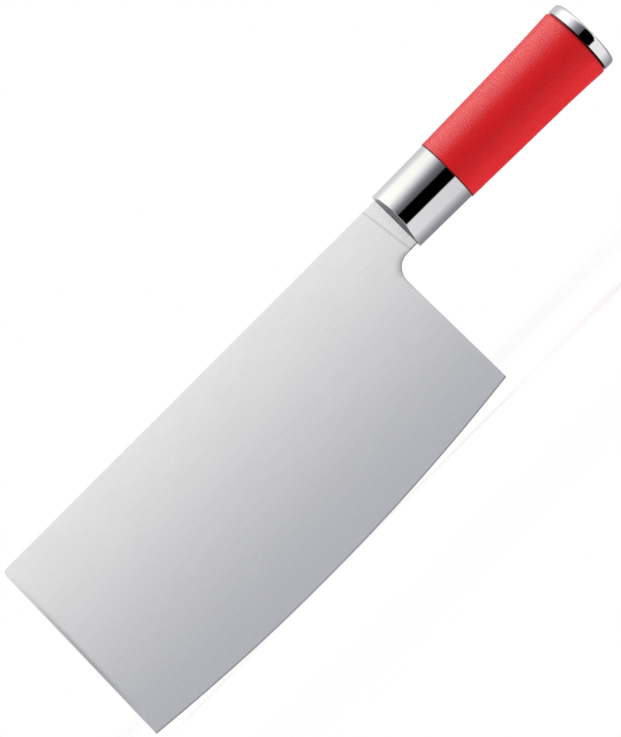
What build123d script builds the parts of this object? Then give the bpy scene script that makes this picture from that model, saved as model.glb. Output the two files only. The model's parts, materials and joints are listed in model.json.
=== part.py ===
from build123d import *
import math
import os

# A kitchen cleaver: a broad ground blade, and a round flared grip between a polished ferrule and an end cap.
# Millimetres. +X runs along the handle to its butt and +Z from the cutting edge to the spine.
# The blade lies in the XZ plane. The origin is at mid-length, in the blade's mid-plane, level with the
# lowest point of the cutting edge.

# Blade outline
EDGE_LENGTH = 180.0  # along X, from the front corner to the heel corner
FRONT_HEIGHT = 80.4  # spine to front corner
HEEL_HEIGHT = 78.5  # spine to heel corner
EDGE_BELLY = 4.87  # rise of the edge's arc over its chord
FRONT_LEAN = 2.0  # how much further the front end stands out at the edge than at the spine
HEEL_LEAN = 1.2  # and the heel, the other way
FRONT_CORNER_RADIUS = 2.5
NOTCH_RADIUS = 6.9
NECK_LENGTH = 12.5  # along the spine, from the heel line to the ferrule
NECK_HEIGHT = 21.9

# Blade section
BLADE_THICKNESS = 2.4
GRIND_DEPTH_AT_SPINE = 0.06
THICKNESS_BEHIND_EDGE = 0.44
EDGE_BEVEL_HEIGHT = 0.65
RIM_ROUNDING = 0.35  # along the spine, the front corner and the front end
NOTCH_ROUNDING = 0.8
PLUNGE_TO_FERRULE_AT_SPINE = 6.2
PLUNGE_TO_FERRULE_AT_NOTCH = 3.3
PLUNGE_RAMP = 0.9  # length of the slope where the grind runs out, below the neck

# Tang
TANG_HEIGHT = 12.0
TANG_LENGTH = 12.0
FORKED_TANG_HEIGHT = 6.4
FORKED_TANG_LENGTH = 13.4
TANG_CLEARANCE = 0.1

# Ferrule and the moulded core in it
SPINE_TO_HANDLE_AXIS = 10.9
FERRULE_LENGTH = 26.0
FERRULE_FRONT_RADIUS = 12.4
FERRULE_REAR_RADIUS = 12.7
FERRULE_WALL = 1.0
FERRULE_FRONT_WALL = 3.0
FERRULE_FACE_SETBACK = 1.35  # how far the front face falls back from its ridge to the rim
FERRULE_FRONT_ROUNDING = 0.15
FERRULE_REAR_ROUNDING = 0.2
NECK_POCKET_DEPTH = 1.0
SPIGOT_RADIUS = 9.0
SPIGOT_LENGTH = 8.0
SPIGOT_END_CLEARANCE = 0.3
MOULDED_FIT = 0.05  # radial, between a moulded piece and what it fills

# Tie rod and its pins
ROD_RADIUS = 3.0
ROD_CLEARANCE = 0.3
ROD_PAST_NUT = 0.7
FORK_RADIUS = 4.5
FORK_SLOT_DEPTH = 14.0
FORK_ROOT = 1.6  # solid metal between the slot and the rod
PIN_RADIUS = 1.25
PIN_SPACING = 6.0
PIN_END_CLEARANCE = 0.15
PIN_FIT = 0.02

# Grip: a stiff core under a grained skin
GRIP_LENGTH = 65.5
GRIP_STRAIGHT_LENGTH = 45.0
GRIP_FRONT_RADIUS = 13.1
GRIP_WAIST_RADIUS = 13.93  # where the straight taper turns into the flare
GRIP_REAR_RADIUS = 14.78
GRIP_FRONT_ROUNDING = 0.25
GRIP_REAR_ROUNDING = 0.8
SKIN_THICKNESS = 2.0
REAR_BORE_RADIUS = 9.05
REAR_BORE_DEPTH = 12.0

# Clamping pieces in the butt
BUSH_FLANGE_THICKNESS = 2.5
BUSH_SLEEVE_RADIUS = 4.4
BUSH_SLEEVE_LENGTH = 5.0
WASHER_RADIUS = 6.0
WASHER_THICKNESS = 1.6
WASHER_CLEARANCE = 0.2
SPRING_WASHER_RADIUS = 5.4
SPRING_WASHER_THICKNESS = 1.6
SPRING_WASHER_GAP = 0.8
NUT_ACROSS_FLATS = 10.0
NUT_HEIGHT = 5.0
NUT_CORNER_CHAMFER = 0.35
THREAD_FIT = 0.03

# Gasket and end cap
GASKET_THICKNESS = 0.5
GASKET_RADIUS = 13.55
CAP_RADIUS = 14.45
CAP_THICKNESS = 4.6
CAP_INNER_ROUNDING = 0.3
CAP_OUTER_ROUNDING = 1.4
CAP_SKIRT_WALL = 1.8
CAP_SKIRT_CLEARANCE = 0.3  # between the skirt's end and the bush

# How far every cutting tool runs past what it cuts
OVERRUN = 20.0

# Places along X
overall_length = (
    EDGE_LENGTH - HEEL_LEAN + NECK_LENGTH + FERRULE_LENGTH + GRIP_LENGTH + GASKET_THICKNESS + CAP_THICKNESS
)
front_corner_x = -overall_length / 2
heel_corner_x = front_corner_x + EDGE_LENGTH
heel_top_x = heel_corner_x - HEEL_LEAN
ferrule_x = heel_top_x + NECK_LENGTH
shoulder_x = ferrule_x + NECK_POCKET_DEPTH
core_x = ferrule_x + FERRULE_FRONT_WALL
grip_x = ferrule_x + FERRULE_LENGTH
spigot_end_x = grip_x + SPIGOT_LENGTH
grip_rear_x = grip_x + GRIP_LENGTH
forked_tang_x = shoulder_x + TANG_LENGTH
tang_end_x = forked_tang_x + FORKED_TANG_LENGTH
fork_x = forked_tang_x + TANG_CLEARANCE
fork_slot_end_x = fork_x + FORK_SLOT_DEPTH
rod_x = fork_slot_end_x + FORK_ROOT
bush_x = grip_rear_x - REAR_BORE_DEPTH
washer_x = bush_x + BUSH_FLANGE_THICKNESS
spring_washer_x = washer_x + WASHER_THICKNESS
nut_x = spring_washer_x + SPRING_WASHER_THICKNESS
nut_rear_x = nut_x + NUT_HEIGHT
rod_end_x = nut_rear_x + ROD_PAST_NUT
cap_x = grip_rear_x + GASKET_THICKNESS
cap_rear_x = cap_x + CAP_THICKNESS
middle_pin_x = (fork_x + tang_end_x) / 2
pin_places = (middle_pin_x - PIN_SPACING / 2, middle_pin_x + PIN_SPACING / 2)

# The cutting edge is one arc through both corners
corner_drop = FRONT_HEIGHT - HEEL_HEIGHT
edge_chord = math.hypot(EDGE_LENGTH, corner_drop)
edge_radius = (edge_chord**2 / 4 + EDGE_BELLY**2) / (2 * EDGE_BELLY)
centre_over_chord = edge_radius - EDGE_BELLY
edge_centre_x = (front_corner_x + heel_corner_x) / 2 - centre_over_chord * corner_drop / edge_chord
centre_over_spine = centre_over_chord * EDGE_LENGTH / edge_chord - (FRONT_HEIGHT + HEEL_HEIGHT) / 2

# Levels along Z
spine_z = edge_radius - centre_over_spine
edge_centre_z = edge_radius
neck_bottom_z = spine_z - NECK_HEIGHT
axis_z = spine_z - SPINE_TO_HANDLE_AXIS
handle_axis = Axis((0, 0, axis_z), (1, 0, 0))

# Shared radii and widths
skirt_radius = REAR_BORE_RADIUS - MOULDED_FIT
tang_slot_width = BLADE_THICKNESS + 2 * TANG_CLEARANCE
tang_slot_height = TANG_HEIGHT + 2 * TANG_CLEARANCE


# Shapes about the handle's axis
def section(*outline):
    """A closed face from (x, radius) points."""
    return make_face(Polyline(*[(x, axis_z + radius) for x, radius in outline], close=True))


def softened(face, x, radius, rounding):
    """Rounds the corner of a section that is nearest to a point."""
    corner = face.vertices().sort_by_distance((x, axis_z + radius))[0]
    return fillet(corner, rounding)


def turned(face):
    return revolve(Plane.XZ * face, handle_axis)


def bar(start_x, end_x, radius):
    return turned(section((start_x, 0), (end_x, 0), (end_x, radius), (start_x, radius)))


def ring(start_x, end_x, outer_radius, inner_radius):
    corners = ((start_x, inner_radius), (end_x, inner_radius), (end_x, outer_radius), (start_x, outer_radius))
    return turned(section(*corners))


def slab(start_x, end_x, thickness, height):
    """A block on the handle's axis, with its thickness along Y."""
    return Pos((start_x + end_x) / 2, 0, axis_z) * Box(end_x - start_x, thickness, height)


def cross_bar(x, radius, length):
    """A bar across the handle, along Y."""
    return Pos(x, 0, axis_z) * Rot(90, 0, 0) * Cylinder(radius, length)


# Blade
def blade_plate():
    """Blade and neck as a flat plate with rounded rims."""
    half = BLADE_THICKNESS / 2
    hair = half / 100
    front_corner = (front_corner_x, spine_z - FRONT_HEIGHT)
    front_top = (front_corner_x + FRONT_LEAN, spine_z)
    notch = (heel_top_x + HEEL_LEAN * NECK_HEIGHT / HEEL_HEIGHT, neck_bottom_z)
    heel_corner = (heel_corner_x, spine_z - HEEL_HEIGHT)
    edge_bottom = (edge_centre_x, edge_centre_z - edge_radius)
    sides = Polyline(
        front_corner, front_top, (shoulder_x, spine_z), (shoulder_x, neck_bottom_z), notch, heel_corner
    )
    outline = make_face(sides + ThreePointArc(heel_corner, edge_bottom, front_corner))
    outline = fillet(outline.vertices().sort_by_distance(front_top)[0], FRONT_CORNER_RADIUS)
    outline = fillet(outline.vertices().sort_by_distance(notch)[0], NOTCH_RADIUS)
    plate = extrude(Plane.XZ * outline, half, both=True)

    def at_the_notch(edge):
        middle = edge.center()
        below_neck = heel_top_x < middle.X < ferrule_x and middle.Z < neck_bottom_z + half
        return below_neck and abs(middle.Y) > half - hair

    def at_the_spine_or_front(edge):
        middle = edge.center()
        ahead = middle.X < front_corner_x + FRONT_LEAN + FRONT_CORNER_RADIUS
        return (ahead or middle.Z > spine_z - hair) and abs(middle.Y) > half - hair

    plate = fillet(plate.edges().filter_by(at_the_notch), NOTCH_ROUNDING)
    return fillet(plate.edges().filter_by(at_the_spine_or_front), RIM_ROUNDING)


def grind_cutter():
    """What the flat grind takes off the side at +Y, as far as the slanted plunge line on the neck."""
    half = BLADE_THICKNESS / 2
    spine_y = half - GRIND_DEPTH_AT_SPINE
    edge_y = THICKNESS_BEHIND_EDGE / 2
    slope = (spine_y - edge_y) / spine_z
    profile = Polyline(
        (spine_y + slope * OVERRUN, spine_z + OVERRUN),
        (edge_y - slope * OVERRUN, -OVERRUN),
        (half + OVERRUN, -OVERRUN),
        (half + OVERRUN, spine_z + OVERRUN),
        close=True,
    )
    start = Plane(origin=(front_corner_x - OVERRUN, 0, 0), x_dir=(0, 1, 0), z_dir=(1, 0, 0))
    cutter = extrude(start * make_face(profile), ferrule_x - front_corner_x + 2 * OVERRUN)
    line_top = Vector(ferrule_x - PLUNGE_TO_FERRULE_AT_SPINE, half, spine_z)
    line_bottom = Vector(ferrule_x - PLUNGE_TO_FERRULE_AT_NOTCH, half, neck_bottom_z)
    along_line = line_bottom - line_top
    down_ramp = Vector(-PLUNGE_RAMP, -GRIND_DEPTH_AT_SPINE - slope * NECK_HEIGHT, 0)
    ramp = Plane(origin=line_top, x_dir=along_line, z_dir=down_ramp.cross(along_line))
    return split(cutter, bisect_by=ramp, keep=Keep.BOTTOM)


def edge_cone():
    """A wide double cone whose sharp rim is the cutting edge."""
    slope = THICKNESS_BEHIND_EDGE / 2 / EDGE_BEVEL_HEIGHT
    depth = spine_z + OVERRUN
    rim_x = edge_centre_x + edge_radius
    profile = Polyline(
        (rim_x, 0),
        (rim_x - depth, slope * depth),
        (edge_centre_x, slope * depth),
        (edge_centre_x, -slope * depth),
        (rim_x - depth, -slope * depth),
        close=True,
    )
    level = Plane(origin=(0, 0, edge_centre_z), x_dir=(1, 0, 0), z_dir=(0, 0, 1))
    return revolve(level * make_face(profile), Axis((edge_centre_x, 0, edge_centre_z), (0, 1, 0)))


def make_blade():
    grind = grind_cutter()
    blade = blade_plate() - grind - mirror(grind, about=Plane.XZ)
    blade = blade & edge_cone()
    blade += slab(ferrule_x, forked_tang_x, BLADE_THICKNESS, TANG_HEIGHT)
    blade += slab(ferrule_x, tang_end_x, BLADE_THICKNESS, FORKED_TANG_HEIGHT)
    for x in pin_places:
        blade -= cross_bar(x, PIN_RADIUS + PIN_FIT, BLADE_THICKNESS + OVERRUN)
    return blade


# Ferrule and its core
def ferrule_bore_radius(x):
    taper = (FERRULE_REAR_RADIUS - FERRULE_FRONT_RADIUS) / FERRULE_LENGTH
    return FERRULE_FRONT_RADIUS + taper * (x - ferrule_x) - FERRULE_WALL


def face_bevel_cutter():
    """What falls off the ferrule's front face on the side at +Y."""
    reach = FERRULE_FRONT_RADIUS + OVERRUN
    setback = FERRULE_FACE_SETBACK * reach / FERRULE_FRONT_RADIUS
    profile = Polyline(
        (ferrule_x, 0),
        (ferrule_x + setback, reach),
        (ferrule_x - OVERRUN, reach),
        (ferrule_x - OVERRUN, 0),
        close=True,
    )
    return Pos(0, 0, axis_z) * extrude(make_face(profile), reach, both=True)


def make_ferrule():
    """Conical sleeve. Its front wall is bevelled to both sides and lets in the neck and the tang."""
    profile = section(
        (ferrule_x, 0),
        (core_x, 0),
        (core_x, ferrule_bore_radius(core_x)),
        (grip_x, ferrule_bore_radius(grip_x)),
        (grip_x, FERRULE_REAR_RADIUS),
        (ferrule_x, FERRULE_FRONT_RADIUS),
    )
    profile = softened(profile, grip_x, FERRULE_REAR_RADIUS, FERRULE_REAR_ROUNDING)
    bevel = face_bevel_cutter()
    ferrule = turned(profile) - bevel - mirror(bevel, about=Plane.XZ)
    ferrule = fillet(ferrule.edges().filter_by(GeomType.ELLIPSE), FERRULE_FRONT_ROUNDING)
    ferrule -= slab(ferrule_x - OVERRUN, shoulder_x, tang_slot_width, NECK_HEIGHT + 2 * TANG_CLEARANCE)
    ferrule -= slab(shoulder_x - OVERRUN, core_x + OVERRUN, tang_slot_width, tang_slot_height)
    return ferrule


def make_ferrule_core():
    """Moulded plug that fills the ferrule and stands out behind it as a spigot for the grip."""
    core = turned(
        section(
            (core_x, 0),
            (spigot_end_x, 0),
            (spigot_end_x, SPIGOT_RADIUS),
            (grip_x, SPIGOT_RADIUS),
            (grip_x, ferrule_bore_radius(grip_x) - MOULDED_FIT),
            (core_x, ferrule_bore_radius(core_x) - MOULDED_FIT),
        )
    )
    core -= slab(core_x - OVERRUN, fork_x, tang_slot_width, tang_slot_height)
    core -= bar(forked_tang_x, spigot_end_x + OVERRUN, FORK_RADIUS + TANG_CLEARANCE)
    return core


# Tie rod and pins
def make_tang_rod():
    """Forked at the front to straddle the tang, and long enough for the nut in the butt."""
    rod = bar(fork_x, rod_x, FORK_RADIUS) + bar(fork_x, rod_end_x, ROD_RADIUS)
    rod -= slab(fork_x - OVERRUN, fork_slot_end_x, tang_slot_width, 2 * FORK_RADIUS + OVERRUN)
    for x in pin_places:
        rod -= cross_bar(x, PIN_RADIUS + PIN_FIT, 2 * FORK_RADIUS + OVERRUN)
    return rod


def make_tang_pins():
    """Two cross pins whose ends stay under the fork's round surface."""
    length = 2 * math.sqrt(FORK_RADIUS**2 - PIN_RADIUS**2) - 2 * PIN_END_CLEARANCE
    return Compound(children=[cross_bar(x, PIN_RADIUS, length) for x in pin_places])


# Grip
def flared_line(inset):
    """The grip's profile from front to rear, drawn in by an inset: a straight taper, then a flare."""
    level = axis_z - inset
    front = (grip_x, level + GRIP_FRONT_RADIUS)
    waist = (grip_x + GRIP_STRAIGHT_LENGTH, level + GRIP_WAIST_RADIUS)
    rear = (grip_rear_x, level + GRIP_REAR_RADIUS)
    taper = Line(front, waist)
    return [taper, TangentArc(waist, rear, tangent=taper % 1)]


def flared_section(outer_inset, *inner):
    """A closed face between the flared line and a line of (x, radius) points from rear to front."""
    outer = flared_line(outer_inset)
    points = [(x, axis_z + radius) for x, radius in inner]
    return make_face(outer + [Polyline(outer[-1] @ 1, *points, outer[0] @ 0)])


def make_grip_skin():
    inner = flared_line(SKIN_THICKNESS)
    outer = flared_line(0)
    ends = [Line(inner[0] @ 0, outer[0] @ 0), Line(inner[-1] @ 1, outer[-1] @ 1)]
    face = make_face(inner + outer + ends)
    face = softened(face, grip_x, GRIP_FRONT_RADIUS, GRIP_FRONT_ROUNDING)
    face = softened(face, grip_rear_x, GRIP_REAR_RADIUS, GRIP_REAR_ROUNDING)
    return turned(face)


def make_grip_core():
    """Stiff tube under the skin, bored for the spigot in front, the rod, and the clamping pieces behind."""
    spigot_bore = SPIGOT_RADIUS + MOULDED_FIT
    spigot_bore_end_x = spigot_end_x + SPIGOT_END_CLEARANCE
    rod_bore = ROD_RADIUS + ROD_CLEARANCE
    sleeve_bore = BUSH_SLEEVE_RADIUS + MOULDED_FIT
    sleeve_x = bush_x - BUSH_SLEEVE_LENGTH - SPIGOT_END_CLEARANCE
    return turned(
        flared_section(
            SKIN_THICKNESS + MOULDED_FIT,
            (grip_rear_x, REAR_BORE_RADIUS),
            (bush_x, REAR_BORE_RADIUS),
            (bush_x, sleeve_bore),
            (sleeve_x, sleeve_bore),
            (sleeve_x, rod_bore),
            (spigot_bore_end_x, rod_bore),
            (spigot_bore_end_x, spigot_bore),
            (grip_x, spigot_bore),
        )
    )


# Clamping pieces in the butt
def make_rear_bush():
    bore = ROD_RADIUS + MOULDED_FIT
    sleeve = ring(bush_x - BUSH_SLEEVE_LENGTH, bush_x, BUSH_SLEEVE_RADIUS, bore)
    return sleeve + ring(bush_x, washer_x, skirt_radius, bore)


def make_rear_washer():
    return ring(washer_x, spring_washer_x, WASHER_RADIUS, ROD_RADIUS + WASHER_CLEARANCE)


def make_spring_washer():
    """Split ring, drawn flat by the nut."""
    washer = ring(spring_washer_x, nut_x, SPRING_WASHER_RADIUS, ROD_RADIUS + WASHER_CLEARANCE)
    middle = Pos((spring_washer_x + nut_x) / 2, 0, axis_z + SPRING_WASHER_RADIUS)
    return washer - middle * Box(OVERRUN, SPRING_WASHER_GAP, 2 * SPRING_WASHER_RADIUS)


def make_clamp_nut():
    flat_radius = NUT_ACROSS_FLATS / 2
    corner_radius = flat_radius / math.cos(math.pi / 6)
    start = Plane(origin=(nut_x, 0, axis_z), x_dir=(0, 1, 0), z_dir=(1, 0, 0))
    hexagon = extrude(start * RegularPolygon(flat_radius, 6, major_radius=False), NUT_HEIGHT)
    chamfered = section(
        (nut_x, 0),
        (nut_x, flat_radius),
        (nut_x + NUT_CORNER_CHAMFER, corner_radius),
        (nut_rear_x - NUT_CORNER_CHAMFER, corner_radius),
        (nut_rear_x, flat_radius),
        (nut_rear_x, 0),
    )
    return (hexagon & turned(chamfered)) - bar(nut_x - OVERRUN, nut_rear_x + OVERRUN, ROD_RADIUS + THREAD_FIT)


# Gasket and end cap
def make_gasket_ring():
    return ring(grip_rear_x, cap_x, GASKET_RADIUS, skirt_radius + MOULDED_FIT)


def make_end_cap():
    """Disc with a rounded rim, and a skirt that reaches into the butt round the nut."""
    skirt_end_x = washer_x + CAP_SKIRT_CLEARANCE
    skirt_bore = skirt_radius - CAP_SKIRT_WALL
    profile = section(
        (cap_x, 0),
        (cap_x, skirt_bore),
        (skirt_end_x, skirt_bore),
        (skirt_end_x, skirt_radius),
        (cap_x, skirt_radius),
        (cap_x, CAP_RADIUS),
        (cap_rear_x, CAP_RADIUS),
        (cap_rear_x, 0),
    )
    profile = softened(profile, cap_x, CAP_RADIUS, CAP_INNER_ROUNDING)
    profile = softened(profile, cap_rear_x, CAP_RADIUS, CAP_OUTER_ROUNDING)
    return turned(profile)


nodes = {
    "blade": make_blade(),
    "ferrule": make_ferrule(),
    "ferrule_core": make_ferrule_core(),
    "tang_rod": make_tang_rod(),
    "tang_pins": make_tang_pins(),
    "grip_core": make_grip_core(),
    "grip_skin": make_grip_skin(),
    "rear_bush": make_rear_bush(),
    "rear_washer": make_rear_washer(),
    "spring_washer": make_spring_washer(),
    "clamp_nut": make_clamp_nut(),
    "gasket_ring": make_gasket_ring(),
    "end_cap": make_end_cap(),
}

os.makedirs("parts", exist_ok=True)
for name, shape in nodes.items():
    export_step(shape, f"parts/{name}.step")
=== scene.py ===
import json
import math

import bpy
import numpy as np
from mathutils import Matrix, Vector


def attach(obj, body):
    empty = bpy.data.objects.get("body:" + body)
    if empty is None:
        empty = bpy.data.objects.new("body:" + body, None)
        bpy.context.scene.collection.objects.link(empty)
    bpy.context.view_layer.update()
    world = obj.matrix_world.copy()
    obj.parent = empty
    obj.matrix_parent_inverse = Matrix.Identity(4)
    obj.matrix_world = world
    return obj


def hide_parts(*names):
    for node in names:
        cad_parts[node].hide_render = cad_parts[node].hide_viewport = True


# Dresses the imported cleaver: materials, the grip's grained skin, a white studio and the camera.
# Metres. +X runs along the handle to its butt, +Z from the cutting edge to the spine, -Y to the camera.

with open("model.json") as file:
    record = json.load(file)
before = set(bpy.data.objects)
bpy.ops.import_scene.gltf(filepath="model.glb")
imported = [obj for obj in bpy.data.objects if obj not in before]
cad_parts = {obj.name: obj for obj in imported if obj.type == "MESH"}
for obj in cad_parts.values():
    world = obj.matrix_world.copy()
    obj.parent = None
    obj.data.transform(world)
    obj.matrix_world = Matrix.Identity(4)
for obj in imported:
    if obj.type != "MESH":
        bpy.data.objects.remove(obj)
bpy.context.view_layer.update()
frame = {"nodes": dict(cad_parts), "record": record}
nodes = frame["nodes"]
scene = bpy.context.scene

MM = 0.001
DEGREE = math.radians(1)

# Places on the cleaver that the looks depend on
AXIS_Z = 73.466 * MM
EDGE_RADIUS = 834.15 * MM
EDGE_CENTRE_X = -62.75 * MM
EDGE_BEVEL = 0.65 * MM
SPINE_Z = 84.366 * MM
NECK_BOTTOM_Z = 62.466 * MM
HEEL_TOP_X = 34.85 * MM
HEEL_LEAN = 1.2 / 78.5  # how much the heel line runs to the rear for each metre down
NOTCH_RADIUS = 6.9 * MM
FRONT_CORNER_X = -143.95 * MM
FRONT_CORNER_Z = 3.97 * MM
FRONT_LEAN = 2.0 / 80.4  # how much the front end runs to the rear for each metre up
PLUNGE_TOP_X = 41.15 * MM
PLUNGE_LEAN = 2.9 / 21.9  # how much the plunge line runs to the rear for each metre down
FERRULE_X = 47.35 * MM
GRIP_FRONT_X = 73.35 * MM
GRIP_WAIST_X = 118.35 * MM
GRIP_REAR_X = 138.85 * MM
GRIP_FRONT_RADIUS = 13.1 * MM
GRIP_WAIST_RADIUS = 13.93 * MM
GRIP_REAR_RADIUS = 14.78 * MM
GRIP_FRONT_ROUNDING = 0.25 * MM
GRIP_REAR_ROUNDING = 0.8 * MM
SKIN_THICKNESS = 2.0 * MM

# Camera
PIXEL = 0.36 * MM  # what one pixel of the photograph shows at the blade
PICTURE_HEIGHT = 737
CAMERA_DISTANCE = 1.4
CAMERA_X = -11.77 * MM
CAMERA_Z = 57.87 * MM
SENSOR = 36.0
CLIP_NEAR, CLIP_FAR = 0.05, 30.0


# Shader nodes
def feed(tree, socket, value):
    """Links an output to a socket, or sets the socket's own value."""
    if isinstance(value, bpy.types.NodeSocket):
        tree.links.new(value, socket)
    else:
        socket.default_value = value


def add(tree, kind, sockets=None, **settings):
    """Adds a shader node, with settings by name and sockets by name or number."""
    node = tree.nodes.new("ShaderNode" + kind)
    for key, value in settings.items():
        setattr(node, key, value)
    for key, value in (sockets or {}).items():
        feed(tree, node.inputs[key], value)
    return node


def math_node(tree, operation, *values, clamp=False):
    node = add(tree, "Math", dict(enumerate(values)), operation=operation, use_clamp=clamp)
    return node.outputs[0]


def blend_values(tree, factor, low, high):
    node = add(tree, "Mix", {0: factor, 2: low, 3: high}, data_type="FLOAT")
    return node.outputs[0]


def blend_colours(tree, factor, low, high):
    node = add(tree, "Mix", {0: factor, 6: low, 7: high}, data_type="RGBA")
    return node.outputs[2]


def spread(tree, value, low, high, to_low=0.0, to_high=1.0):
    """Maps low..high to to_low..to_high, and holds the ends."""
    sockets = {"Value": value, "From Min": low, "From Max": high, "To Min": to_low, "To Max": to_high}
    return add(tree, "MapRange", sockets).outputs[0]


def noise(tree, place, scale, detail):
    """Noise from 0 to 1. The scale is how many features there are in a metre, along X, Y and Z."""
    stretched = add(tree, "Mapping", {"Vector": place, "Scale": scale}, vector_type="POINT")
    sockets = {"Vector": stretched.outputs[0], "Scale": 1.0, "Detail": detail, "Roughness": 0.5}
    return add(tree, "TexNoise", sockets).outputs["Fac"]


def locate(tree):
    """Where a point of the surface lies."""
    return add(tree, "TexCoord").outputs["Object"]


def split(tree, vector):
    """A vector's X, Y and Z, by name."""
    return add(tree, "SeparateXYZ", {0: vector}).outputs


def facing(tree, axis):
    """How far the surface faces along an axis, from -1 to 1."""
    return split(tree, add(tree, "TexCoord").outputs["Normal"])[axis]


def distance(tree, across, up):
    """Distance from the origin of a plane."""
    flat = add(tree, "CombineXYZ", {0: across, 1: up})
    return add(tree, "VectorMath", {0: flat.outputs[0]}, operation="LENGTH").outputs["Value"]


def bump(tree, height, strength, depth):
    node = add(tree, "Bump", {"Strength": strength, "Distance": depth, "Height": height})
    return node.outputs[0]


def colour_ramp(tree, factor, stops):
    """Colour by a factor. The stops are (factor, colour), the first at 0 and the last at 1."""
    ramp = add(tree, "ValToRGB", {0: factor})
    elements = ramp.color_ramp.elements
    for where, colour in stops[1:-1]:
        elements.new(where).color = colour
    elements[0].color = stops[0][1]
    elements[-1].color = stops[-1][1]
    return ramp.outputs[0]


def grey(value):
    return (value, value, value, 1.0)


def new_material(name):
    material = bpy.data.materials.new(name)
    material.use_nodes = True
    material.node_tree.nodes.clear()
    return material, material.node_tree


def finish_material(tree, shader):
    output = add(tree, "OutputMaterial")
    tree.links.new(shader.outputs[0], output.inputs["Surface"])


def principled(tree, sockets):
    """Ends a material with one Principled shader."""
    finish_material(tree, add(tree, "BsdfPrincipled", sockets))


# Materials
MIDDLE = (0.3, 0.7)  # between which most of a noise lies
PATCHES = (0.35, 0.7)  # the same, with more left out at the low end
TOP_START, TOP_FULL = AXIS_Z + 4 * MM, AXIS_Z + 10 * MM


def near_top(tree, part):
    """1 along the top of the handle's round pieces, 0 from mid-height down."""
    return spread(tree, part["Z"], TOP_START, TOP_FULL)


def painted_notch_shade(tree, part):
    """Painted shade round the notch on the blade's sides, darkest at its rim and fading outwards."""
    corner_width, neck_width, heel_width, darkest = 3.4 * MM, 1.5 * MM, 1.6 * MM, 0.53
    sink = math_node(tree, "SUBTRACT", SPINE_Z, part["Z"])
    heel = math_node(tree, "MULTIPLY_ADD", sink, HEEL_LEAN, HEEL_TOP_X + NOTCH_RADIUS)
    ahead = math_node(tree, "MAXIMUM", math_node(tree, "SUBTRACT", heel, part["X"]), 0.0)
    over = math_node(tree, "SUBTRACT", part["Z"], NECK_BOTTOM_Z - NOTCH_RADIUS)
    over = math_node(tree, "MAXIMUM", over, 0.0)
    along_neck = spread(tree, part["X"], 39.5 * MM, 43.5 * MM, corner_width, neck_width)
    along_heel = spread(tree, part["Z"], 57 * MM, 60 * MM, heel_width, corner_width)
    width = math_node(tree, "MINIMUM", along_neck, along_heel)
    off = math_node(tree, "SUBTRACT", distance(tree, ahead, over), NOTCH_RADIUS)
    near = math_node(tree, "SUBTRACT", 1.0, math_node(tree, "DIVIDE", off, width), clamp=True)
    high = spread(tree, part["Z"], 50 * MM, 60 * MM, 0.0, darkest)
    return math_node(tree, "MULTIPLY", math_node(tree, "POWER", near, 2.0), high)


def painted_plunge_shade(tree, part):
    """Painted shade line where the ground side runs out into the neck."""
    setback, core, reach, darkest = 0.15 * MM, 0.1 * MM, 0.6 * MM, 0.32
    sink = math_node(tree, "SUBTRACT", SPINE_Z, part["Z"])
    line = math_node(tree, "MULTIPLY_ADD", sink, PLUNGE_LEAN, PLUNGE_TOP_X + setback)
    off = math_node(tree, "ABSOLUTE", math_node(tree, "SUBTRACT", part["X"], line))
    on_neck = spread(tree, part["Z"], 60 * MM, 63 * MM, 0.0, darkest)
    return math_node(tree, "MULTIPLY", spread(tree, off, reach, core), on_neck)


def painted_front_shade(tree, part):
    """Painted shade along the front end, strongest at mid-height, behind the bright rounded rim."""
    core, reach, rim, rim_end, darkest = 0.4 * MM, 2.8 * MM, 0.3 * MM, 0.55 * MM, 0.47
    rise = math_node(tree, "SUBTRACT", part["Z"], FRONT_CORNER_Z)
    line = math_node(tree, "MULTIPLY_ADD", rise, FRONT_LEAN, FRONT_CORNER_X)
    inside = math_node(tree, "SUBTRACT", part["X"], line)
    fading = math_node(tree, "POWER", spread(tree, inside, reach, core), 2.0)
    behind_rim = spread(tree, inside, rim, rim_end)
    above = spread(tree, part["Z"], 84 * MM, 52 * MM, 0.0, darkest)
    below = spread(tree, part["Z"], 12 * MM, 34 * MM)
    level = math_node(tree, "MULTIPLY", above, below)
    return math_node(tree, "MULTIPLY", math_node(tree, "MULTIPLY", fading, behind_rim), level)


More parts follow.
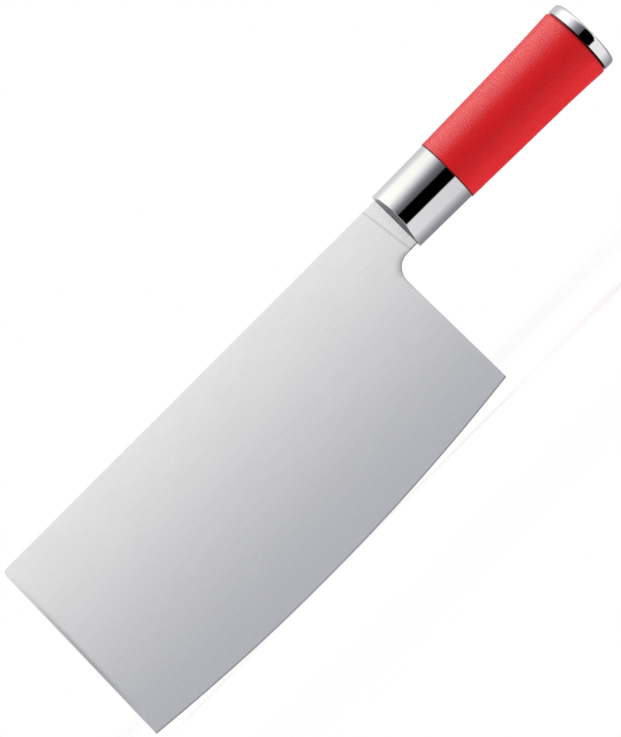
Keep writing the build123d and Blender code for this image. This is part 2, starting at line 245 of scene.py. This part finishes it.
def satin_steel():
    """Blade: ground lengthwise to a fine satin, with a finer ground bevel along the cutting edge."""
    material, tree = new_material("satin_steel")
    place = locate(tree)
    part = split(tree, place)
    cloud = noise(tree, place, (35, 35, 60), 3.0)
    streak = noise(tree, place, (90, 900, 1400), 2.0)
    fine = noise(tree, place, (1000, 1150, 1150), 1.0)
    scratch = noise(tree, place, (45, 2600, 2900), 0.0)
    half_streak, half_fine = (math_node(tree, "MULTIPLY", lines, 0.5) for lines in (streak, fine))
    lines = math_node(tree, "ADD", half_streak, half_fine)
    across = math_node(tree, "SUBTRACT", part["X"], EDGE_CENTRE_X)
    down = math_node(tree, "SUBTRACT", part["Z"], EDGE_RADIUS)
    bevel_start = EDGE_RADIUS - EDGE_BEVEL
    bevel = spread(tree, distance(tree, across, down), bevel_start - 0.05 * MM, bevel_start)

    dark_line, pale_line = (0.665, 0.665, 0.668, 1), (0.705, 0.705, 0.705, 1)
    tint = blend_colours(tree, spread(tree, lines, *MIDDLE), dark_line, pale_line)
    clouded = spread(tree, cloud, *MIDDLE, 0.0, 0.35)
    scored = spread(tree, scratch, 0.74, 0.8, 0.0, 0.25)
    # Painted shade on the faces that turn upwards, along the top of the blade and its rounded edge
    shaded_spine = spread(tree, facing(tree, "Z"), 0.1, 0.5)
    for share, colour in (
        (clouded, (0.67, 0.67, 0.675, 1)),
        (scored, (0.78, 0.78, 0.78, 1)),
        # The bevel's darker tint is painted shade; its finer grind, in the roughness below, is real
        (bevel, (0.485, 0.485, 0.5, 1)),
        (shaded_spine, (0.5, 0.5, 0.505, 1)),
        # painted shade round the notch
        (painted_notch_shade(tree, part), (0.0, 0.0, 0.01, 1)),
        # painted shade line along the plunge
        (painted_plunge_shade(tree, part), (0.3, 0.3, 0.31, 1)),
        # painted shade along the front end
        (painted_front_shade(tree, part), (0.0, 0.0, 0.0, 1)),
    ):
        tint = blend_colours(tree, share, tint, colour)

    dull, bright, bevel_gloss = 0.47, 0.4, 0.26
    gloss = spread(tree, lines, *MIDDLE, dull, bright)
    gloss = math_node(tree, "ADD", gloss, spread(tree, cloud, *MIDDLE, -0.02, 0.02))
    gloss = blend_values(tree, bevel, gloss, bevel_gloss)
    along_z = add(tree, "CombineXYZ", {2: 1.0})
    principled(
        tree,
        {
            "Base Color": tint,
            "Metallic": 1.0,
            "Roughness": gloss,
            "Anisotropic": 0.6,
            "Normal": bump(tree, lines, 0.25, 0.004 * MM),
            "Tangent": along_z.outputs[0],
        },
    )
    return material


def polished_steel():
    """Ferrule and end cap: mirror polish with faint turning marks round the handle and a few fine
    scratches. The cap's disc is turned to a satin, and its inner rim has painted shade except near the
    top."""
    material, tree = new_material("polished_steel")
    place = locate(tree)
    part = split(tree, place)
    smear = noise(tree, place, (120, 120, 120), 3.0)
    turning = noise(tree, place, (9000, 60, 60), 0.0)
    scratch = noise(tree, place, (4000, 240, 240), 0.0)
    scored = spread(tree, scratch, 0.72, 0.8)
    rearwards = facing(tree, "X")
    disc = spread(tree, rearwards, 0.8, 0.99)
    behind_grip = spread(tree, part["X"], GRIP_WAIST_X, GRIP_REAR_X)
    # Painted shade on the cap's inner rim behind the grip, left off near the top where light falls
    dull = math_node(tree, "SUBTRACT", behind_grip, near_top(tree, part), clamp=True)
    shaded_inner_rim = math_node(tree, "MULTIPLY", spread(tree, rearwards, -0.15, -0.5), dull)

    tint = blend_colours(tree, scored, (0.935, 0.935, 0.94, 1), (0.9, 0.9, 0.905, 1))
    tint = blend_colours(tree, shaded_inner_rim, tint, grey(0.12))
    tint = blend_colours(tree, disc, tint, (0.8, 0.8, 0.805, 1))

    mirror, smeared, scratched, disc_gloss = 0.035, 0.07, 0.05, 0.24
    gloss = spread(tree, smear, *PATCHES, mirror, smeared)
    gloss = math_node(tree, "ADD", gloss, math_node(tree, "MULTIPLY", scored, scratched))
    gloss = blend_values(tree, disc, gloss, disc_gloss)
    up = math_node(tree, "SUBTRACT", part["Z"], AXIS_Z)
    outwards = add(tree, "CombineXYZ", {1: part["Y"], 2: up})
    principled(
        tree,
        {
            "Base Color": tint,
            "Metallic": 1.0,
            "Roughness": gloss,
            "Anisotropic": math_node(tree, "MULTIPLY", disc, 0.8),
            "Normal": bump(tree, turning, 0.05, 0.002 * MM),
            "Tangent": outwards.outputs[0],
        },
    )
    return material


def plain_steel():
    """Rod, pins, nut and washers: turned and left bright, a little stained."""
    material, tree = new_material("plain_steel")
    place = locate(tree)
    stain = noise(tree, place, (180, 180, 180), 4.0)
    turning = noise(tree, place, (6000, 120, 120), 0.0)
    stained = spread(tree, stain, *PATCHES)
    principled(
        tree,
        {
            "Base Color": blend_colours(tree, stained, (0.56, 0.56, 0.57, 1), (0.43, 0.42, 0.41, 1)),
            "Metallic": 1.0,
            "Roughness": spread(tree, stain, *PATCHES, 0.28, 0.42),
            "Normal": bump(tree, turning, 0.2, 0.01 * MM),
        },
    )
    return material


def black_nylon():
    """Moulded pieces inside the handle."""
    material, tree = new_material("black_nylon")
    place = locate(tree)
    flow = noise(tree, place, (150, 400, 400), 3.0)
    spark = noise(tree, place, (6000, 6000, 6000), 1.0)
    principled(
        tree,
        {
            "Base Color": blend_colours(tree, flow, (0.02, 0.02, 0.021, 1), (0.04, 0.04, 0.042, 1)),
            "Roughness": spread(tree, flow, *MIDDLE, 0.42, 0.55),
            "Normal": bump(tree, spark, 0.3, 0.02 * MM),
        },
    )
    return material


def black_rubber():
    """Gasket between the grip and the end cap, with a painted highlight that turns it paler along its
    top.
    """
    material, tree = new_material("black_rubber")
    place = locate(tree)
    part = split(tree, place)
    grain = noise(tree, place, (3500, 3500, 3500), 2.0)
    tint = blend_colours(tree, grain, (0.03, 0.006, 0.007, 1), (0.05, 0.012, 0.013, 1))
    # Painted highlight: paler dull red along the top
    tint = blend_colours(tree, near_top(tree, part), tint, (0.32, 0.13, 0.13, 1))
    principled(
        tree,
        {
            "Base Color": tint,
            "Roughness": spread(tree, grain, *MIDDLE, 0.55, 0.75),
            "Specular IOR Level": 0.15,
            "Normal": bump(tree, grain, 0.3, 0.02 * MM),
        },
    )
    return material


def red_grip():
    """Grip: dense red skin whose grain is in the mesh, with finer pores, painted shade in their hollows,
    and painted shade at the rim at each end.
    """
    material, tree = new_material("red_grip")
    place = locate(tree)
    part = split(tree, place)
    pores = noise(tree, place, (5200, 3600, 3600), 2.0)
    mottle = noise(tree, place, (160, 160, 160), 3.0)
    deep_red, red = (0.69, 0.0115, 0.0165, 1), (0.73, 0.0125, 0.0175, 1)
    tint = blend_colours(tree, spread(tree, mottle, *MIDDLE), deep_red, red)
    # Painted shade in the pores' hollows, where the bump sinks in
    shaded_pores = spread(tree, pores, 0.25, 0.45, 0.35, 0.0)
    tint = blend_colours(tree, shaded_pores, tint, (0.55, 0.008, 0.011, 1))

    # Painted shade at the rim at each end, where the grip meets the ferrule and the gasket; at the rear
    # less of it on top
    front_end, rear_width = GRIP_FRONT_X + 0.3 * MM, 1.3 * MM
    front_rim_shade = spread(tree, part["X"], front_end + 0.3 * MM, front_end, 0.0, 0.75)
    rear_rim_shade = spread(tree, part["X"], GRIP_REAR_X - rear_width, GRIP_REAR_X, 0.0, 0.5)
    less_on_top = math_node(tree, "MULTIPLY_ADD", near_top(tree, part), -0.7, 1.0)
    rear_rim_shade = math_node(tree, "MULTIPLY", rear_rim_shade, less_on_top)
    painted_rim_shade = math_node(tree, "MAXIMUM", front_rim_shade, rear_rim_shade)
    tint = blend_colours(tree, painted_rim_shade, tint, (0.08, 0.006, 0.008, 1))
    principled(
        tree,
        {
            "Base Color": tint,
            "Roughness": spread(tree, pores, *MIDDLE, 0.42, 0.34),
            "Specular IOR Level": 0.12,
            "Normal": bump(tree, pores, 0.3, 0.02 * MM),
        },
    )
    return material


materials = {
    "satin_steel": satin_steel(),
    "polished_steel": polished_steel(),
    "plain_steel": plain_steel(),
    "black_nylon": black_nylon(),
    "black_rubber": black_rubber(),
    "red_grip": red_grip(),
}
for subpart in frame["record"]["subparts"]:
    node = nodes[subpart["node"]]
    material = materials[subpart["material_slot"]]
    node.data.materials.clear()
    node.data.materials.append(material)


# The grip's skin, with its grain as real relief
GRAIN_DEPTH = 0.16 * MM
GRAIN_PITCH = 0.25 * MM  # between the mesh's rings, and about the same round them
RIM_DEPTH = 0.4  # share of the grain's depth that is left at the skin's rims
SKIN_SIDES = 360
ROUNDING_STEPS = 5
INNER_RINGS = 12


def grip_radius(x):
    """Outer radius: a straight taper, then an arc that leaves it without a kink."""
    slope = (GRIP_WAIST_RADIUS - GRIP_FRONT_RADIUS) / (GRIP_WAIST_X - GRIP_FRONT_X)
    if x <= GRIP_WAIST_X:
        return GRIP_FRONT_RADIUS + slope * (x - GRIP_FRONT_X)
    lean = math.atan(slope)
    run, rise = GRIP_REAR_X - GRIP_WAIST_X, GRIP_REAR_RADIUS - GRIP_WAIST_RADIUS
    bend = (run**2 + rise**2) / (2 * (rise * math.cos(lean) - run * math.sin(lean)))
    centre_x, centre_up = GRIP_WAIST_X - bend * math.sin(lean), bend * math.cos(lean)
    return GRIP_WAIST_RADIUS + centre_up - math.sqrt(bend**2 - (x - centre_x) ** 2)


def grain(rings, sides, seed):
    """Relief from 0 to 1 on a closed sleeve: short wrinkles that run round it, and finer pebbles."""
    length = 2 * rings
    girth = 2 * math.pi * GRIP_WAIST_RADIUS / MM
    # Waves in a millimetre, along the sleeve, round it and in any direction
    along = np.fft.fftfreq(length, GRAIN_PITCH / MM)[:, None]
    round_it = np.fft.fftfreq(sides, girth / sides)[None, :]
    any_way = np.hypot(along, round_it)
    random = np.random.default_rng(seed)

    def band(shape):
        wave = np.fft.ifft2(np.fft.fft2(random.standard_normal((length, sides))) * shape).real
        return wave / wave.std()

    wrinkles = band(np.exp(-(((abs(along) - 1.1) / 0.4) ** 2) - (round_it / 0.14) ** 2))
    pebbles = band(np.exp(-(((any_way - 1.0) / 0.4) ** 2)))
    swell = band(np.exp(-((any_way / 0.3) ** 2)))
    relief = 0.75 * wrinkles + 0.5 * pebbles + 0.15 * swell
    return (0.5 + 0.5 * np.tanh(0.9 * relief))[:rings]


def skin_profile():
    """The skin's outer outline from front to rear, as (x, radius, share of the grain's depth)."""
    profile = []
    for i in range(ROUNDING_STEPS):
        turn = math.pi / 2 * i / ROUNDING_STEPS
        x = GRIP_FRONT_X + GRIP_FRONT_ROUNDING * (1 - math.sin(turn))
        radius = GRIP_FRONT_RADIUS - GRIP_FRONT_ROUNDING * (1 - math.cos(turn))
        profile.append((x, radius, RIM_DEPTH))
    profile.reverse()
    start, end = GRIP_FRONT_X + GRIP_FRONT_ROUNDING, GRIP_REAR_X - GRIP_REAR_ROUNDING
    count = round((end - start) / GRAIN_PITCH)
    for i in range(1, count + 1):
        x = start + (end - start) * i / count
        profile.append((x, grip_radius(x), 1.0))
    rim = grip_radius(end)
    for i in range(1, ROUNDING_STEPS + 1):
        turn = math.pi / 2 * i / ROUNDING_STEPS
        x = end + GRIP_REAR_ROUNDING * math.sin(turn)
        radius = rim - GRIP_REAR_ROUNDING * (1 - math.cos(turn))
        profile.append((x, radius, 1.0 - (1 - RIM_DEPTH) * i / ROUNDING_STEPS))
    return profile


def make_skin():
    """Sleeve with the CAD skin's outline. Its relief only goes inwards."""
    profile = skin_profile()
    relief = grain(len(profile), SKIN_SIDES, seed=5)
    places, radii, depth = (np.array(column) for column in zip(*profile))
    radii = radii[:, None] - GRAIN_DEPTH * depth[:, None] * (1 - relief)
    inner_x = np.linspace(GRIP_REAR_X, GRIP_FRONT_X, INNER_RINGS)
    inner = np.array([grip_radius(x) - SKIN_THICKNESS for x in inner_x])
    places = np.concatenate([places, inner_x])
    radii = np.concatenate([radii, np.repeat(inner[:, None], SKIN_SIDES, axis=1)])
    turns = 2 * math.pi * np.arange(SKIN_SIDES) / SKIN_SIDES
    rings = len(places)
    points = np.empty((rings, SKIN_SIDES, 3))
    points[:, :, 0] = places[:, None]
    points[:, :, 1] = radii * np.cos(turns)
    points[:, :, 2] = AXIS_Z + radii * np.sin(turns)
    ring, side = np.meshgrid(np.arange(rings), np.arange(SKIN_SIDES), indexing="ij")
    next_ring, next_side = (ring + 1) % rings, (side + 1) % SKIN_SIDES
    corners = [(ring, side), (ring, next_side), (next_ring, next_side), (next_ring, side)]
    faces = np.stack([r * SKIN_SIDES + s for r, s in corners], axis=-1).reshape(-1, 4)
    mesh = bpy.data.meshes.new("grained_skin")
    mesh.from_pydata(points.reshape(-1, 3).tolist(), [], faces.tolist())
    mesh.shade_smooth()
    mesh.materials.append(materials["red_grip"])
    skin = bpy.data.objects.new("grained_skin", mesh)
    scene.collection.objects.link(skin)
    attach(skin, "root")
    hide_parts("grip_skin")
    return skin


skin = make_skin()


# Studio
ROOM_LIGHT = 0.25  # the world's strength as a light
FLOOR_COLOUR = 0.8
FLOOR_LIFT = 0.37  # what the camera sees added to the lit floor
FLOOR_HALF = 8.0
FADE_START, FADE_END = 0.18, 0.6  # distances at which the floor starts to turn white, and is white


def stage_material(name):
    """Material of a floor or card whose glow isn't sampled as a lamp."""
    material, tree = new_material(name)
    material.cycles.emission_sampling = "NONE"
    return material, tree


def stage_object(name, vertices, faces, material, **visibility):
    mesh = bpy.data.meshes.new(name)
    mesh.from_pydata(vertices, [], faces)
    mesh.materials.append(material)
    thing = bpy.data.objects.new(name, mesh)
    scene.collection.objects.link(thing)
    for key, value in visibility.items():
        setattr(thing, key, value)
    return thing


def shown_rays(tree):
    """1 for what is seen, also in metal or through glass, and 0 for what lights the object."""
    path = add(tree, "LightPath").outputs
    some = math_node(tree, "ADD", path["Is Camera Ray"], path["Is Glossy Ray"])
    return math_node(tree, "ADD", some, path["Is Transmission Ray"], clamp=True)


def make_world():
    world = bpy.data.worlds.new("studio")
    world.use_nodes = True
    tree = world.node_tree
    tree.nodes.clear()
    strength = blend_values(tree, shown_rays(tree), ROOM_LIGHT, 1.0)
    background = add(tree, "Background", {"Color": grey(1.0), "Strength": strength})
    output = add(tree, "OutputWorld")
    tree.links.new(background.outputs[0], output.inputs["Surface"])
    world.cycles.sampling_method = "NONE"
    scene.world = world


def make_floor():
    """Pale floor that keeps the object's shadow and turns into the white background further out."""
    material, tree = stage_material("floor")
    away = add(tree, "VectorMath", {0: locate(tree)}, operation="LENGTH").outputs["Value"]
    sockets = {"Value": away, "From Min": FADE_START, "From Max": FADE_END}
    far = add(tree, "MapRange", sockets, interpolation_type="SMOOTHSTEP").outputs[0]
    seen = shown_rays(tree)
    matt = add(tree, "BsdfDiffuse", {"Color": grey(FLOOR_COLOUR)})
    lifted = math_node(tree, "MULTIPLY", seen, FLOOR_LIFT)
    lift = add(tree, "Emission", {"Color": grey(1.0), "Strength": lifted})
    near = add(tree, "AddShader", {0: matt.outputs[0], 1: lift.outputs[0]})
    white = add(tree, "Emission", {"Color": grey(1.0), "Strength": 1.0})
    fade = math_node(tree, "MULTIPLY", far, seen)
    finish_material(tree, add(tree, "MixShader", {0: fade, 1: near.outputs[0], 2: white.outputs[0]}))
    low, high = -FLOOR_HALF, FLOOR_HALF
    corners = [(low, low, 0), (high, low, 0), (high, high, 0), (low, high, 0)]
    return stage_object("floor", corners, [(0, 1, 2, 3)], material)


make_world()
floor = make_floor()


# Lamps
def softbox(name, place, aim, width, height, brightness, **visibility):
    """Rectangular lamp whose face has the given brightness, turned to a point."""
    lamp = bpy.data.lights.new(name, "AREA")
    lamp.shape = "RECTANGLE"
    lamp.size, lamp.size_y = width, height
    lamp.energy = brightness * math.pi * width * height
    thing = bpy.data.objects.new(name, lamp)
    thing.location = place
    thing.rotation_euler = (Vector(aim) - Vector(place)).to_track_quat("-Z", "Y").to_euler()
    thing.visible_camera = False
    for key, value in visibility.items():
        setattr(thing, key, value)
    scene.collection.objects.link(thing)
    return thing


def light_only(lamp, thing, state):
    """Includes the thing in what the lamp lights, or leaves it out."""
    group = bpy.data.collections.new(lamp.name + "_" + state.lower())
    group.objects.link(thing)
    group.collection_objects[0].light_linking.link_state = state
    lamp.light_linking.receiver_collection = group


GRIP_X = 0.105  # where the lamps for the grip stand, along the handle
GRIP_MIDDLE = (GRIP_X, 0.0, AXIS_Z)
UNREFLECTED, GLOSS_ONLY = {"visible_glossy": False}, {"visible_diffuse": False}
LAMPS = [  # name, place, aim, width, height, brightness, settings
    ("key", (0.0, -0.055, 0.52), (0.0, -0.055, 0.0), 1.1, 0.48, 1.15, {}),
    ("fill", (0.0, -1.6, 0.35), (0.0, 0.0, 0.05), 1.2, 0.8, 0.2, UNREFLECTED),
    ("grip_key", (GRIP_X, -0.2, 0.6), GRIP_MIDDLE, 0.9, 0.4, 3.05, UNREFLECTED),
    ("sheen", (-0.3, 0.1, 0.9), (-0.3, 0.1, 0.0), 1.4, 1.5, 8.0, GLOSS_ONLY),
    ("bounce", (GRIP_X, -0.055, 0.027), GRIP_MIDDLE, 0.16, 0.02, 1.1, {}),
    ("behind", (GRIP_X, 0.6, 0.25), GRIP_MIDDLE, 0.9, 0.5, 1.0, UNREFLECTED),
    ("under", (GRIP_X, -0.006, 0.01), GRIP_MIDDLE, 0.16, 0.02, 1.9, {}),
    ("top", (0.0, 0.0, 1.5), (0.0, 0.0, 0.0), 2.5, 2.5, 0.6, {}),
]
lamps = {name: softbox(name, *rest, **settings) for name, *rest, settings in LAMPS}
# The key light leaves the grip out, five lamps are for the grip alone, and one is for the floor alone
light_only(lamps["key"], skin, "EXCLUDE")
light_only(lamps["top"], floor, "INCLUDE")
for name in ("grip_key", "sheen", "bounce", "under", "behind"):
    light_only(lamps[name], skin, "INCLUDE")

# Cards that only metal and gloss see
ONLY_REFLECTED = {
    "visible_camera": False,
    "visible_diffuse": False,
    "visible_transmission": False,
    "visible_volume_scatter": False,
    "visible_shadow": False,
}
TENT_RADIUS = 0.045
TENT_SIDES = 96
TENT_START, TENT_END = FERRULE_X - 0.1 * MM, 0.26
ROUND_STOPS = [  # (degrees up from the front, brightness)
    (-180, 0.4),
    (-150, 0.25),
    (-118, 0.26),
    (-106, 0.32),
    (-90, 0.47),
    (-72, 0.71),
    (-30, 0.72),
    (-27, 0.0),
    (7.5, 0.0),
    (10.5, 0.09),
    (20, 0.14),
    (28, 0.24),
    (37, 0.48),
    (46, 0.74),
    (54, 0.93),
    (62, 1.03),
    (90, 1.03),
    (104, 0.81),
    (114, 0.69),
    (160, 0.62),
    (180, 0.4),
]
# The tent's front lid, as (millimetres up, brightness)
NECK_STOPS = [(62, 0.13), (77, 0.14), (81, 0.21), (83.5, 0.28), (85, 0.6), (88, 0.65)]
UNDER_STOPS = [(62, 0.25), (63.7, 0.42), (65, 0.61), (66.6, 0.73), (68, 0.78)]
BOARD_HALF = 0.32
BOARD_FOOT, BOARD_HEAD = (0.0004, 0.00002), (0.236, 0.2356)  # (away from the blade, up)
BOARD_HEIGHT = 0.15  # where its gradient ends
BOARD_STOPS = [  # (share of the height, colour)
    (0.0, (0.625, 0.633, 0.685, 1)),
    (0.1, (0.632, 0.64, 0.688, 1)),
    (0.15, (0.66, 0.668, 0.71, 1)),
    (0.33, (0.84, 0.843, 0.868, 1)),
    (0.46, (0.995, 0.995, 1.0, 1)),
    (1.0, (1.79, 1.78, 1.74, 1)),
]
FLAG_HALF, FLAG_HEIGHT = 0.6, 1.0
TIP_STOPS = [(0.0, 0.2), (0.3, 0.25), (0.4, 0.03), (0.6, 0.03), (0.7, 0.6), (1.0, 1.0)]
BUTT_STOPS = [(0.0, 0.35), (0.15, 0.65), (0.3, 0.8), (1.0, 1.0)]


def cool(value):
    """Grey that turns a little blue as it gets darker."""
    return (value, 0.995 * value, value * (1.14 - 0.17 * value), 1.0)


def shaded_ramp(tree, value, unit, stops):
    """Greys by a value, turning cool in the dark. The stops are (value in the unit, brightness)."""
    low, high = stops[0][0] * unit, stops[-1][0] * unit
    parts = [((where * unit - low) / (high - low), cool(brightness)) for where, brightness in stops]
    return colour_ramp(tree, spread(tree, value, low, high), parts)


def tent_material():
    """Round the handle dark in front, white on top and grey behind. On the front lid dark beside the
    neck, for the ferrule's face, and paler under it. A ray that comes in from outside goes through."""
    material, tree = stage_material("tent")
    part = split(tree, locate(tree))
    up = math_node(tree, "SUBTRACT", part["Z"], AXIS_Z)
    towards = math_node(tree, "MULTIPLY", part["Y"], -1.0)
    turn = math_node(tree, "ARCTAN2", up, towards)

    # The pattern leans along the ferrule, above its black band, and sits a little lower at the cap
    from_band = spread(tree, turn, 8 * DEGREE, 20 * DEGREE)
    to_white = spread(tree, turn, 80 * DEGREE, 62 * DEGREE)
    above_band = math_node(tree, "MULTIPLY", from_band, to_white)
    lean = spread(tree, part["X"], FERRULE_X, GRIP_FRONT_X, 4.6 * DEGREE, -3.1 * DEGREE)
    to_cap = spread(tree, part["X"], GRIP_WAIST_X, GRIP_REAR_X)
    lean = blend_values(tree, to_cap, math_node(tree, "MULTIPLY", lean, above_band), 2.2 * DEGREE)
    turn = math_node(tree, "ADD", turn, lean)
    pattern = shaded_ramp(tree, turn, DEGREE, ROUND_STOPS)

    border_slope, border_start, border_blur = 0.78, 0.4 * MM, 0.2 * MM
    rise = math_node(tree, "SUBTRACT", part["Z"], NECK_BOTTOM_Z)
    border = math_node(tree, "MULTIPLY_ADD", rise, border_slope, border_start)
    beside = spread(tree, math_node(tree, "SUBTRACT", border, towards), -border_blur, border_blur)
    neck = shaded_ramp(tree, part["Z"], MM, NECK_STOPS)
    under = shaded_ramp(tree, part["Z"], MM, UNDER_STOPS)
    lid = blend_colours(tree, beside, under, neck)
    on_lid = spread(tree, distance(tree, up, towards), 15 * MM, 12.5 * MM)
    colour = blend_colours(tree, on_lid, pattern, lid)

    # Brightest at the ferrule's front. At the cap brighter than at the grip, but not over the top
    to_grip = spread(tree, part["X"], FERRULE_X, GRIP_FRONT_X, 1.05, 0.94)
    over_top = spread(tree, turn, 81 * DEGREE, 99 * DEGREE, 0.2, -0.05)
    below = spread(tree, turn, -20 * DEGREE, -27 * DEGREE, 0.0, 0.078)
    at_cap = math_node(tree, "MULTIPLY_ADD", to_cap, math_node(tree, "ADD", over_top, below), 1.0)
    strength = math_node(tree, "MULTIPLY", to_grip, at_cap)
    glow = add(tree, "Emission", {"Color": colour, "Strength": strength})
    clear = add(tree, "BsdfTransparent")
    outside = add(tree, "NewGeometry").outputs["Backfacing"]
    came_through = add(tree, "LightPath").outputs["Transparent Depth"]
    passing = math_node(tree, "ADD", outside, came_through, clamp=True)
    finish_material(tree, add(tree, "MixShader", {0: passing, 1: glow.outputs[0], 2: clear.outputs[0]}))
    return material


def make_tent():
    """Tube round the handle that shades what its polished pieces reflect, with a clear rear lid."""
    material = tent_material()
    rear_lid, tree = new_material("tent_rear_lid")
    finish_material(tree, add(tree, "BsdfTransparent"))
    vertices, faces = [], []
    for i in range(TENT_SIDES):
        turn = 2 * math.pi * i / TENT_SIDES
        y, z = -TENT_RADIUS * math.cos(turn), AXIS_Z + TENT_RADIUS * math.sin(turn)
        vertices += [(TENT_START, y, z), (TENT_END, y, z)]
        a, b = 2 * i, 2 * ((i + 1) % TENT_SIDES)
        faces.append((a, b, b + 1, a + 1))
    faces += [tuple(range(2 * TENT_SIDES - 2, -1, -2)), tuple(range(1, 2 * TENT_SIDES, 2))]
    tent = stage_object("tent", vertices, faces, material, **ONLY_REFLECTED)
    tent.data.materials.append(rear_lid)
    tent.data.polygons[len(faces) - 1].material_index = 1


def make_card(name, corners, height, stops):
    """Card that glows by height. The stops are (share of the height, colour)."""
    material, tree = stage_material(name)
    part = split(tree, locate(tree))
    colour = colour_ramp(tree, spread(tree, part["Z"], 0.0, height), stops)
    finish_material(tree, add(tree, "Emission", {"Color": colour, "Strength": 1.0}))
    stage_object(name, corners, [(0, 1, 2, 3)], material, **ONLY_REFLECTED)


def make_board(name, side):
    """Board that leans away from the blade's foot on one side, brighter upwards, for the satin steel."""
    foot, head = ((side * away, up) for away, up in (BOARD_FOOT, BOARD_HEAD))
    left, right = -BOARD_HALF, BOARD_HALF
    corners = [(left, *foot), (right, *foot), (right, *head), (left, *head)]
    make_card(name, corners, BOARD_HEIGHT, BOARD_STOPS)


def make_flag(name, x, stops):
    """Upright card across the handle's line. The stops are (share of the height, brightness)."""
    low, high = -FLAG_HALF, FLAG_HALF
    corners = [(x, low, 0), (x, high, 0), (x, high, FLAG_HEIGHT), (x, low, FLAG_HEIGHT)]
    make_card(name, corners, FLAG_HEIGHT, [(where, grey(brightness)) for where, brightness in stops])


make_tent()
make_board("front_board", -1)
make_board("back_board", 1)
make_flag("tip_flag", -0.45, TIP_STOPS)
make_flag("butt_flag", 0.6, BUTT_STOPS)

# Camera: level with the blade, square on to it, rolled so that the handle points up and to the right
right = (math.sqrt(0.5), 0.0, -math.sqrt(0.5))
up = (math.sqrt(0.5), 0.0, math.sqrt(0.5))
back = (0.0, -1.0, 0.0)
turned = Matrix((right, up, back)).transposed().to_4x4()
camera = bpy.data.cameras.new("camera")
camera.sensor_width = SENSOR
camera.lens = SENSOR * CAMERA_DISTANCE / (PICTURE_HEIGHT * PIXEL)
camera.clip_start, camera.clip_end = CLIP_NEAR, CLIP_FAR
camera_object = bpy.data.objects.new("camera", camera)
camera_object.matrix_world = Matrix.Translation((CAMERA_X, -CAMERA_DISTANCE, CAMERA_Z)) @ turned
scene.collection.objects.link(camera_object)
scene.camera = camera_object
scene.view_settings.view_transform = "Standard"
